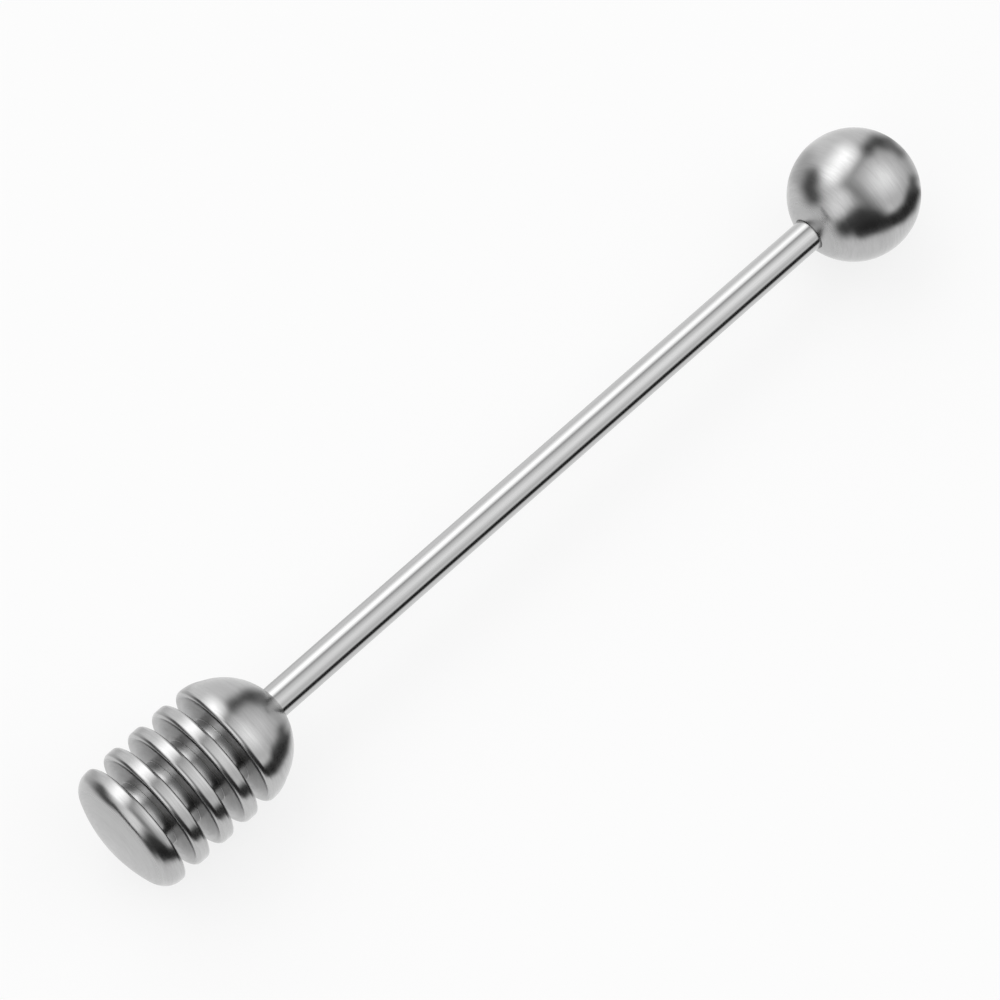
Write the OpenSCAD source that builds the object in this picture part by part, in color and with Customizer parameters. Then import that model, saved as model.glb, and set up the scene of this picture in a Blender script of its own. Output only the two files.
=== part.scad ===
// Honey dipper in brushed steel: a grooved head, a round handle rod and a ball.
// It lies along X on the ground plane, head towards -X and ball towards +X.
// The origin is on the ground, midway between its two ends.

/* [Overall] */
// Length from the front of the head to the far side of the ball
overall_l = 159; // [130:1:220]

/* [Head front] */
// Diameter of the head
head_d = 20; // [18:0.5:30]
// Radius of the crown, the shallow dome that closes the front
crown_r = 21.5; // [16:0.5:60]
// Radius of the corner that leads from the crown to the rim
corner_r = 3; // [0.5:0.1:4]
// Straight rim of the front disc, between the corner and the lip of the first groove
front_rim = 0.25; // [0.1:0.05:4]

/* [Grooves] */
// Width of each honey groove
groove_w = 2.2; // [1.4:0.05:4]
// Thickness of each inner disc
disc_w = 2.35; // [1.8:0.05:4]
// Number of inner discs, between the front disc and the dome
disc_count = 3; // [1:1:6]
// Diameter of the core that the grooves leave
core_d = 10.8; // [7:0.1:14]
// Rounding of the lip that faces the front, on the far side of each groove
lip_r = 0.8; // [0.2:0.05:1]
// Rounding of the lip on each groove's near side, which faces the ball
back_lip_r = 0.55; // [0.1:0.05:0.7]
// Rounding of each groove's two floor corners
floor_r = 0.05; // [0.05:0.05:0.6]

/* [Head dome] */
// Straight land between the last groove and the shoulder
land_l = 0.8; // [0.8:0.1:4]
// Radius of the shoulder, where the land turns into the flank
shoulder_r = 6; // [2:0.5:8]
// Slope of the flank against the axis, in degrees
flank_angle = 25.5; // [18:0.5:35]
// Radius of the spherical nose
nose_r = 9.8; // [5:0.1:10]

/* [Handle] */
// Diameter of the handle rod
rod_d = 5; // [3:0.1:5.8]
// Chamfer on each end of the rod
rod_chamfer = 0.4; // [0.1:0.1:0.8]
// Diameter of the ball
ball_d = 20; // [16:0.5:30]

/* [Seats] */
// Depth of the rod's seat in the head, from the tip of the nose
head_seat = 8; // [4:0.5:8.5]
// Depth of the rod's seat in the ball, from the ball's surface on the axis
ball_seat = 8; // [4:0.5:12]
// Clearance round the rod in its seats, on the diameter
seat_gap = 0.02; // [0.01:0.01:0.1]
// Chamfer round the mouth of each seat
mouth_chamfer = 0.25; // [0.1:0.05:0.5]
// Angle of the drill point that ends each seat, in degrees
drill_angle = 118; // [90:1:140]

/* [Hidden] */
$fn = 96;

head_rad = head_d / 2;
core_rad = core_d / 2;
ball_rad = ball_d / 2;
rod_rad = rod_d / 2;
bore_rad = rod_rad + seat_gap / 2;

// Places along the head's axis, counted from the front of its crown
corner_c = head_rad - corner_r;
corner_z = crown_r - sqrt(pow(crown_r - corner_r, 2) - pow(corner_c, 2));
front_w = corner_z + front_rim + back_lip_r;
groove_pitch = disc_w + groove_w;
wall_z = front_w + groove_w + disc_count * groove_pitch;
shoulder_z = wall_z + land_l;
shoulder_c = head_rad - shoulder_r;
// The nose is no larger than the shoulder's end lets it be
nose_max = shoulder_c / cos(flank_angle) + shoulder_r;
nose_rad = min(nose_r, nose_max);
nose_z = shoulder_z + (shoulder_c * cos(flank_angle) + shoulder_r - nose_rad) / sin(flank_angle);
head_l = nose_z + nose_rad;

// Places along the dipper's axis
axis_h = max(head_rad, ball_rad);
front_x = -overall_l / 2;
nose_x = front_x + head_l;
ball_x = overall_l / 2 - ball_rad;
rod_x0 = nose_x - head_seat;
rod_x1 = ball_x - ball_rad + ball_seat;

// Margin by which a cut runs past the surface it opens
over = 1;

// Lays a body that is turned about Z along the dipper's axis, starting at x
module lay_at(x) {
    translate([x, 0, axis_h]) rotate([0, 90, 0]) children();
}

// What a rounding of radius r takes off a square corner at the origin, the stock being on -X and +Y
module corner_waste(r) {
    difference() {
        translate([-r, -over]) square([r + over, r + over]);
        translate([-r, r]) circle(r);
    }
}

// Section of one groove, from its near wall up: rounded floor corners and rounded lips
module groove_cut() {
    translate([core_rad + floor_r, 0]) square([head_rad - core_rad - floor_r + over, groove_w]);
    translate([core_rad, floor_r]) square([2 * floor_r, groove_w - 2 * floor_r]);
    for (z = [floor_r, groove_w - floor_r])
        translate([core_rad + floor_r, z]) circle(floor_r);
    translate([head_rad, groove_w]) corner_waste(lip_r);
    translate([head_rad, 0]) mirror([0, 1]) corner_waste(back_lip_r);
}

// Section of the crowned front: the crown's sphere as far as it meets the corner, and the corner
module front_section() {
    meet_angle = atan2(crown_r - corner_z, corner_c);
    translate([corner_c, corner_z]) circle(corner_r);
    intersection() {
        translate([0, crown_r]) circle(crown_r);
        square([crown_r * cos(meet_angle), corner_z]);
    }
}

// Section of the domed back: the shoulder, the straight flank and the spherical nose
module dome_section() {
    c = cos(flank_angle);
    s = sin(flank_angle);
    translate([shoulder_c, shoulder_z]) circle(shoulder_r);
    translate([0, nose_z]) circle(nose_rad);
    polygon([
        [0, shoulder_z],
        [shoulder_c, shoulder_z],
        [shoulder_c + shoulder_r * c, shoulder_z + shoulder_r * s],
        [nose_rad * c, nose_z + nose_rad * s],
        [0, nose_z + nose_rad * s]
    ]);
}

// Section of the turned bar before its grooves
module bar_section() {
    front_section();
    translate([0, corner_z]) square([head_rad, shoulder_z - corner_z]);
    intersection() {
        dome_section();
        translate([0, wall_z]) square([head_rad, head_l]);
    }
}

// Section of a blind seat drilled down from a spherical end whose top is at the origin
module seat_cut(depth, end_rad) {
    drill_tip = bore_rad / tan(drill_angle / 2);
    rim_z = end_rad - sqrt(end_rad * end_rad - bore_rad * bore_rad);
    mouth_z = rim_z + mouth_chamfer;
    polygon([
        [0, -depth - drill_tip],
        [bore_rad, -depth],
        [bore_rad, -mouth_z],
        [bore_rad + mouth_z + over, over],
        [0, over]
    ]);
}

module dipper_head() {
    color("lightgray") lay_at(front_x) rotate_extrude() difference() {
        bar_section();
        for (i = [0:disc_count]) translate([0, front_w + i * groove_pitch]) groove_cut();
        translate([0, head_l]) seat_cut(head_seat, nose_rad);
    }
}

module handle_rod() {
    rod_l = rod_x1 - rod_x0;
    color("silver") lay_at(rod_x0) rotate_extrude() polygon([
        [0, 0],
        [rod_rad - rod_chamfer, 0],
        [rod_rad, rod_chamfer],
        [rod_rad, rod_l - rod_chamfer],
        [rod_rad - rod_chamfer, rod_l],
        [0, rod_l]
    ]);
}

module ball_knob() {
    color("lightgray") lay_at(ball_x) rotate_extrude() difference() {
        intersection() {
            circle(ball_rad);
            translate([0, -ball_d]) square([ball_d, 2 * ball_d]);
        }
        mirror([0, 1]) translate([0, ball_rad]) seat_cut(ball_seat, ball_rad);
    }
}

dipper_head();
handle_rod();
ball_knob();
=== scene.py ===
"""Looks of a steel honey dipper lying on a white studio table.

The head and the ball are satin steel with fine lines turned round the axis.
The handle rod is brighter polished steel with fine lines along it.
"""
import math

import bpy
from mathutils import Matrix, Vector


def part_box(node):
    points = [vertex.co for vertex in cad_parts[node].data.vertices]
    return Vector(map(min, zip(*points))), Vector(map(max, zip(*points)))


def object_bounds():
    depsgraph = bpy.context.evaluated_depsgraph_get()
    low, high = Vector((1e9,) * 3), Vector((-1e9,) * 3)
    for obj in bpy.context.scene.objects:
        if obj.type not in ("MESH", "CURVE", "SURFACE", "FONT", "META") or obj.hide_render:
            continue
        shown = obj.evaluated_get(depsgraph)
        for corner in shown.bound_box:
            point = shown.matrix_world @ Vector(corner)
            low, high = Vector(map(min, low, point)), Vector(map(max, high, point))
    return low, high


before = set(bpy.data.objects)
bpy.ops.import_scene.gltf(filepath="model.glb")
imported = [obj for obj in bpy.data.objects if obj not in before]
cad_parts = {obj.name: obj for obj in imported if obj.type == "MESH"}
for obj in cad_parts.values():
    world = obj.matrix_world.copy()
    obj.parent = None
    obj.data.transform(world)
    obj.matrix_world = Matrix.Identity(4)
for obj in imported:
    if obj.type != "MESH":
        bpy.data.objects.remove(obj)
cad_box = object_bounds()
head_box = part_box("dipper_head")

MM = 0.001
WHITE = (1.0, 1.0, 1.0, 1.0)

# The dipper's axis is level, at half the height of the frame's box
AXIS = Vector((1.0, 0.0, 0.0))
AXIS_H = (cad_box[0].z + cad_box[1].z) / 2
HEAD_R = (head_box[1].z - head_box[0].z) / 2

# Camera: it looks down at the middle of the dipper, from the head's end and from -Y
AIM = Vector((-3.55 * MM, 0.57 * MM, AXIS_H))
AZIMUTH = math.radians(-44.33)
ELEVATION = math.radians(63.81)
DISTANCE = 637.0 * MM
LENS = 159.5
SENSOR = 36.0

# The studio is laid out as a polished ball would mirror it, seen from this side
STUDIO_AZIMUTH = math.radians(-53.35)
STUDIO_ELEVATION = math.radians(59.55)
# Level of the white walls, and of the table away from the dipper
WALL = 1.0
# What stands in front of the walls, back to front. Each is a line of points, in
# ball radii along the dipper and square to it, with the line's half width, the
# softness of its edge and its level of light.
STUDIO = [
    ("far_shade", [(-0.45, -0.74), (-0.15, -0.88)], 0.11, 0.12, 0.66),
    ("end_shade", [(0.90, 0.05), (0.84, 0.42)], 0.07, 0.07, 0.62),
    ("panel_frame", [(0.46, 0.10)], 0.40, 0.10, 0.75),
    ("upper_gap", [(-0.48, -0.36), (-0.42, -0.52), (-0.27, -0.60)], 0.13, 0.10, 0.09),
    ("middle_gap", [(0.03, -0.20), (0.07, 0.26)], 0.10, 0.12, 0.34),
    ("lower_gap", [(-0.40, 0.27), (-0.14, 0.31), (0.01, 0.49)], 0.17, 0.09, 0.05),
    ("table_edge", [(-0.28, 0.48), (0.05, 0.62), (0.30, 0.69), (0.50, 0.67), (0.68, 0.56)], 0.11, 0.05, 0.02),
    ("table_end", [(0.72, 0.50), (0.80, 0.40)], 0.06, 0.06, 0.12),
    ("side_gap", [(0.05, -0.20), (0.30, -0.28), (0.55, -0.33)], 0.05, 0.07, 0.42),
    ("end_gap", [(0.61, -0.37), (0.75, -0.38), (0.85, -0.26)], 0.11, 0.09, 0.08),
    ("end_line", [(0.88, -0.22), (0.92, 0.0)], 0.07, 0.07, 0.22),
    ("key_light", [(-0.04, -0.45), (0.28, -0.52)], 0.11, 0.16, 2.35),
    ("left_panel", [(-0.33, 0.0), (-0.18, -0.08)], 0.12, 0.10, 1.32),
    ("right_panel", [(0.48, 0.11)], 0.20, 0.21, 1.50),
]
# A dark strip that stands low before the head: the middles of its two ends, its half width and its level
STRIP = [Vector((-202.0, -37.0, 28.0)) * MM, Vector((-179.0, 64.0, 62.0)) * MM]
STRIP_HALF_WIDTH = 14.0 * MM
STRIP_LEVEL = 0.02

# Table: half its side, its colour, and the distances from the middle between which the camera sees it
# turn to pure white. Nearer than that, this share of what the camera sees is already white.
TABLE_HALF = 3.0
TABLE_COLOUR = (0.9, 0.9, 0.9, 1.0)
TABLE_NEAR = 120.0 * MM
TABLE_FAR = 350.0 * MM
TABLE_NEAR_WHITE = 0.8

# Noise: most of its values lie between these two. Each finish blends fine and broad lines.
NOISE_LOW = 0.3
NOISE_HIGH = 0.7
BROAD_SHARE = 0.4

# Satin steel: its grey and its roughness from the lowest to the highest lines, and the height of the lines
SATIN_GREY = (0.44, 0.49)
SATIN_ROUGHNESS = (0.24, 0.18)
SATIN_HEIGHT = 0.0012 * MM
SATIN_ANISOTROPY = 0.3
# The lips of the discs are worn to this depth, brighter and smoother
WORN_DEPTH = 0.5 * MM
WORN_GREY = 0.02
WORN_ROUGHNESS = -0.03
# Painted shade: the grooves' cores are painted darker, for the shade that falls in them. A place counts as
# deep by how open it is within this reach.
DEEP_REACH = 3.0 * MM
DEEP_OPEN = (0.35, 0.50)
PAINTED_SHADE_GREY = -0.12
# The grooves' walls were faced and stayed rougher. A wall is known by its normal's share along the axis.
FACED_SHARE = (0.75, 0.95)
FACED_ROUGHNESS = 0.10
# Between these radii round the axis the true normal gives way to the smoothed one
CENTRE_R = (0.8 * MM, 0.9 * MM)
# Near the axis the lines are this many times shorter than at the head's radius
CENTRE_SHORTER = 3.0

# Polished steel: its grey and its roughness from the lowest to the highest lines, and their height
POLISHED_GREY = (0.49, 0.53)
POLISHED_ROUGHNESS = (0.18, 0.11)
POLISHED_HEIGHT = 0.002 * MM
# Length and width of its lines
FINE_LINE = Vector((14.0, 0.16, 0.16)) * MM
BROAD_LINE = Vector((30.0, 0.7, 0.7)) * MM

# Sockets of a Mix node that blends vectors
VECTOR_A = 4
VECTOR_B = 5
VECTOR_RESULT = 1


def direction(azimuth, elevation):
    """Unit vector from the origin out to that azimuth and elevation."""
    level = math.cos(elevation)
    return Vector((math.sin(azimuth) * level, -math.cos(azimuth) * level, math.sin(elevation)))


class Nodes:
    """The node tree of a material or of the world, with short calls for its nodes."""

    def __init__(self, owner):
        owner.use_nodes = True
        self.tree = owner.node_tree
        self.tree.nodes.clear()

    def add(self, kind, inputs=None, **settings):
        """A node of that kind. inputs maps a socket's name or number to a value or an output."""
        node = self.tree.nodes.new(kind)
        for name, value in settings.items():
            setattr(node, name, value)
        for key, value in (inputs or {}).items():
            self.feed(node.inputs[key], value)
        return node

    def feed(self, socket, value):
        """Links an output to the socket, or sets the socket's own value."""
        if isinstance(value, bpy.types.NodeSocket):
            self.tree.links.new(value, socket)
        else:
            socket.default_value = value

    def math(self, operation, *values):
        """Result of a Math node."""
        return self.add("ShaderNodeMath", dict(enumerate(values)), operation=operation).outputs[0]

    def vector(self, operation, *values, out="Vector"):
        """Result of a Vector Math node. A length or a dot product comes from out="Value"."""
        node = self.add("ShaderNodeVectorMath", operation=operation)
        for socket, value in zip(node.inputs, values):
            self.feed(socket, value)
        return node.outputs[out]

    def scaled(self, vector, factor):
        """A vector times a number."""
        node = self.add("ShaderNodeVectorMath", {"Vector": vector, "Scale": factor}, operation="SCALE")
        return node.outputs["Vector"]

    def ramp(self, value, low, high, at_low=0.0, at_high=1.0):
        """Smooth step of value: at_low below low, at_high above high."""
        inputs = {"Value": value, "From Min": low, "From Max": high, "To Min": at_low, "To Max": at_high}
        node = self.add("ShaderNodeMapRange", inputs, interpolation_type="SMOOTHSTEP")
        return node.outputs["Result"]

    def blend(self, share, first, second):
        """first where share is 0, second where it is 1."""
        inputs = {"Factor": share, "A": first, "B": second}
        return self.add("ShaderNodeMix", inputs, data_type="FLOAT").outputs["Result"]

    def shifted(self, value, share, amount):
        """value, moved by that amount where share is 1."""
        return self.math("ADD", value, self.math("MULTIPLY", share, amount))

    def noise(self, vector, detail, w=0.0):
        """Fractal noise between about 0.25 and 0.75, one feature per unit."""
        inputs = {"Vector": vector, "W": w, "Scale": 1.0, "Detail": detail, "Roughness": 0.6}
        return self.add("ShaderNodeTexNoise", inputs, noise_dimensions="4D").outputs["Fac"]

    def follow(self, noise, at_low, at_high):
        """A level that follows a noise, from at_low to at_high."""
        return self.ramp(noise, NOISE_LOW, NOISE_HIGH, at_low, at_high)


def distance_to_line(n, place, points):
    """Distance from place to a line of points, all in the studio's layout."""
    nearest = None
    for start, end in zip(points, points[1:] or points):
        start, end = Vector((*start, 0.0)), Vector((*end, 0.0))
        along = end - start
        offset = n.vector("SUBTRACT", place, start)
        if along.length > 0.0:
            share = n.vector("DOT_PRODUCT", offset, along / along.length_squared, out="Value")
            share = n.add("ShaderNodeClamp", {"Value": share}).outputs["Result"]
            offset = n.vector("SUBTRACT", offset, n.scaled(along, share))
        distance = n.vector("LENGTH", offset, out="Value")
        nearest = distance if nearest is None else n.math("MINIMUM", nearest, distance)
    return nearest


def make_world():
    """White walls with lights and dark gaps, all far away. The camera sees plain white."""
    world = bpy.data.worlds.new("studio")
    bpy.context.scene.world = world
    n = Nodes(world)
    front = direction(STUDIO_AZIMUTH, STUDIO_ELEVATION)
    along = (AXIS - front * AXIS.dot(front)).normalized()
    square = along.cross(front)
    ray = n.add("ShaderNodeTexCoord").outputs["Generated"]
    mirror = n.vector("NORMALIZE", n.vector("ADD", ray, front))
    u = n.vector("DOT_PRODUCT", mirror, along, out="Value")
    v = n.vector("DOT_PRODUCT", mirror, square, out="Value")
    place = n.add("ShaderNodeCombineXYZ", {"X": u, "Y": v}).outputs["Vector"]
    light = WALL
    for _, points, half_width, softness, level in STUDIO:
        distance = distance_to_line(n, place, points)
        cover = n.ramp(distance, half_width - softness, half_width + softness, 1.0, 0.0)
        light = n.blend(cover, light, level)
    camera_ray = n.add("ShaderNodeLightPath").outputs["Is Camera Ray"]
    strength = n.blend(camera_ray, light, WALL)
    background = n.add("ShaderNodeBackground", {"Color": WHITE, "Strength": strength})
    n.add("ShaderNodeOutputWorld", {"Surface": background.outputs["Background"]})


def turned_place(n):
    """A surface point of a body turned about the axis: its place along the axis, its radius and its unit
    direction square to the axis."""
    point = n.add("ShaderNodeTexCoord").outputs["Object"]
    point = n.vector("SUBTRACT", point, Vector((0.0, 0.0, AXIS_H)))
    x = n.add("ShaderNodeSeparateXYZ", {"Vector": point}).outputs["X"]
    spoke = n.vector("MULTIPLY", point, Vector((0.0, 1.0, 1.0)))
    return x, n.vector("LENGTH", spoke, out="Value"), n.vector("NORMALIZE", spoke)


def turned_noise(n, width, length, detail):
    """Streaks that run round the axis, so wide and so long at the head's radius."""
    x, radius, spoke = turned_place(n)
    across = n.add("ShaderNodeCombineXYZ", {"X": n.math("DIVIDE", x, width)}).outputs["Vector"]
    reach = n.math("MINIMUM", n.math("MULTIPLY", radius, CENTRE_SHORTER), HEAD_R)
    vector = n.vector("ADD", across, n.scaled(spoke, n.math("DIVIDE", reach, length)))
    return n.noise(vector, detail, w=n.math("DIVIDE", radius, width))


def axis_normal(n, radius):
    """The surface normal, with the smoothed one left out right at the axis, where it is uneven."""
    geometry = n.add("ShaderNodeNewGeometry").outputs
    centre = n.ramp(radius, *CENTRE_R, 1.0, 0.0)
    inputs = {"Factor": centre, VECTOR_A: geometry["Normal"], VECTOR_B: geometry["True Normal"]}
    return n.add("ShaderNodeMix", inputs, data_type="VECTOR").outputs[VECTOR_RESULT]


def finish_metal(n, grey, roughness, lines, height, anisotropy=0.0, tangent=None, normal=None):
    """The metal shader. grey, roughness and lines come from nodes, and the lines stand so high."""
    colour = n.add("ShaderNodeCombineColor", {"Red": grey, "Green": grey, "Blue": grey})
    bump = n.add("ShaderNodeBump", {"Strength": 1.0, "Distance": height, "Height": lines})
    shader = n.add("ShaderNodeBsdfPrincipled", {
        "Base Color": colour.outputs["Color"],
        "Metallic": 1.0,
        "Roughness": roughness,
        "Anisotropic": anisotropy,
        "Normal": bump.outputs["Normal"],
    })
    if tangent:
        n.feed(shader.inputs["Tangent"], tangent)
    if normal:
        n.feed(bump.inputs["Normal"], normal)
    n.add("ShaderNodeOutputMaterial", {"Surface": shader.outputs["BSDF"]})


def satin_steel():
    """Turned and brushed steel: brighter and smoother on the discs' worn lips, with painted shade
    darkening the grooves' cores, and rougher on their walls."""
    material = bpy.data.materials.new("satin_steel")
    n = Nodes(material)
    fine = turned_noise(n, width=0.12 * MM, length=2.4 * MM, detail=3.0)
    broad = turned_noise(n, width=0.6 * MM, length=9.0 * MM, detail=2.0)
    streak = n.blend(BROAD_SHARE, fine, broad)
    _, radius, _ = turned_place(n)
    worn = n.ramp(radius, HEAD_R - WORN_DEPTH, HEAD_R)
    # Painted shade: the grey is lowered where the surface is enclosed, deep in the grooves
    open_air = n.add("ShaderNodeAmbientOcclusion", {"Distance": DEEP_REACH}, samples=8, only_local=True)
    painted_shade = n.ramp(open_air.outputs["AO"], *DEEP_OPEN, 1.0, 0.0)
    normal = n.add("ShaderNodeTexCoord").outputs["Normal"]
    facing = n.math("ABSOLUTE", n.vector("DOT_PRODUCT", normal, AXIS, out="Value"))
    faced = n.ramp(facing, *FACED_SHARE)
    grey = n.follow(streak, *SATIN_GREY)
    grey = n.shifted(grey, worn, WORN_GREY)
    # Painted shade: darker grey in the grooves' cores
    grey = n.shifted(grey, painted_shade, PAINTED_SHADE_GREY)
    roughness = n.follow(streak, *SATIN_ROUGHNESS)
    roughness = n.shifted(roughness, worn, WORN_ROUGHNESS)
    roughness = n.shifted(roughness, faced, FACED_ROUGHNESS)
    tangent = n.add("ShaderNodeTangent", direction_type="RADIAL", axis="X").outputs["Tangent"]
    smooth = axis_normal(n, radius)
    finish_metal(n, grey, roughness, streak, SATIN_HEIGHT, SATIN_ANISOTROPY, tangent, smooth)
    return material


def polished_steel():
    """Drawn and polished bar, with faint lines along it."""
    material = bpy.data.materials.new("polished_steel")
    n = Nodes(material)
    point = n.add("ShaderNodeTexCoord").outputs["Object"]
    fine = n.noise(n.vector("DIVIDE", point, FINE_LINE), detail=3.0)
    broad = n.noise(n.vector("DIVIDE", point, BROAD_LINE), detail=2.0)
    line = n.blend(BROAD_SHARE, fine, broad)
    grey = n.follow(line, *POLISHED_GREY)
    roughness = n.follow(line, *POLISHED_ROUGHNESS)
    finish_metal(n, grey, roughness, line, POLISHED_HEIGHT)
    return material


def dress(node, material):
    """Gives every material slot of a node of the frame this material."""
    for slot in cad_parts[node].material_slots:
        slot.material = material


def make_sheet(name, corners, material):
    """A flat four-cornered sheet of one material."""
    mesh = bpy.data.meshes.new(name)
    mesh.from_pydata(corners, [], [(0, 1, 2, 3)])
    mesh.materials.append(material)
    sheet = bpy.data.objects.new(name, mesh)
    bpy.context.scene.collection.objects.link(sheet)
    return sheet


def table_white():
    """White that keeps shadows. To the camera it is part pure white, and all of it away from the dipper."""
    material = bpy.data.materials.new("table_white")
    n = Nodes(material)
    point = n.add("ShaderNodeTexCoord").outputs["Object"]
    away = n.ramp(n.vector("LENGTH", point, out="Value"), TABLE_NEAR, TABLE_FAR, TABLE_NEAR_WHITE, 1.0)
    camera_ray = n.add("ShaderNodeLightPath").outputs["Is Camera Ray"]
    diffuse = n.add("ShaderNodeBsdfDiffuse", {"Color": TABLE_COLOUR})
    white = n.add("ShaderNodeEmission", {"Color": WHITE, "Strength": WALL})
    mix = n.add("ShaderNodeMixShader", {
        0: n.math("MULTIPLY", camera_ray, away),
        1: diffuse.outputs["BSDF"],
        2: white.outputs["Emission"],
    })
    n.add("ShaderNodeOutputMaterial", {"Surface": mix.outputs["Shader"]})
    return material


def make_floor():
    """The white table. It keeps the dipper's soft shadow and turns pure white away from it."""
    signs = [(-1, -1), (1, -1), (1, 1), (-1, 1)]
    corners = [(x * TABLE_HALF, y * TABLE_HALF, 0.0) for x, y in signs]
    floor = make_sheet("table_top", corners, table_white())
    floor.visible_glossy = False


def black_card():
    """Even, nearly black card."""
    material = bpy.data.materials.new("black_card")
    n = Nodes(material)
    black = n.add("ShaderNodeEmission", {"Color": WHITE, "Strength": STRIP_LEVEL})
    n.add("ShaderNodeOutputMaterial", {"Surface": black.outputs["Emission"]})
    return material


def make_strip():
    """The dark strip. It shows only in the metal, as a dark line along the corner of the crown."""
    rise = Vector((0.0, 0.0, STRIP_HALF_WIDTH))
    left, right = STRIP
    corners = [left - rise, right - rise, right + rise, left + rise]
    strip = make_sheet("dark_strip", corners, black_card())
    strip.visible_camera = False
    strip.visible_diffuse = False
    strip.visible_shadow = False


def make_camera():
    """The camera at the photograph's viewing angle."""
    data = bpy.data.cameras.new("camera")
    data.lens = LENS
    data.sensor_width = SENSOR
    camera = bpy.data.objects.new("camera", data)
    bpy.context.scene.collection.objects.link(camera)
    back = direction(AZIMUTH, ELEVATION)
    camera.location = AIM + back * DISTANCE
    camera.rotation_mode = "QUATERNION"
    camera.rotation_quaternion = (-back).to_track_quat("-Z", "Y")
    bpy.context.scene.camera = camera


bpy.context.scene.view_settings.view_transform = "Standard"
make_camera()
make_world()
make_floor()
make_strip()
satin = satin_steel()
dress("dipper_head", satin)
dress("ball_knob", satin)
dress("handle_rod", polished_steel())
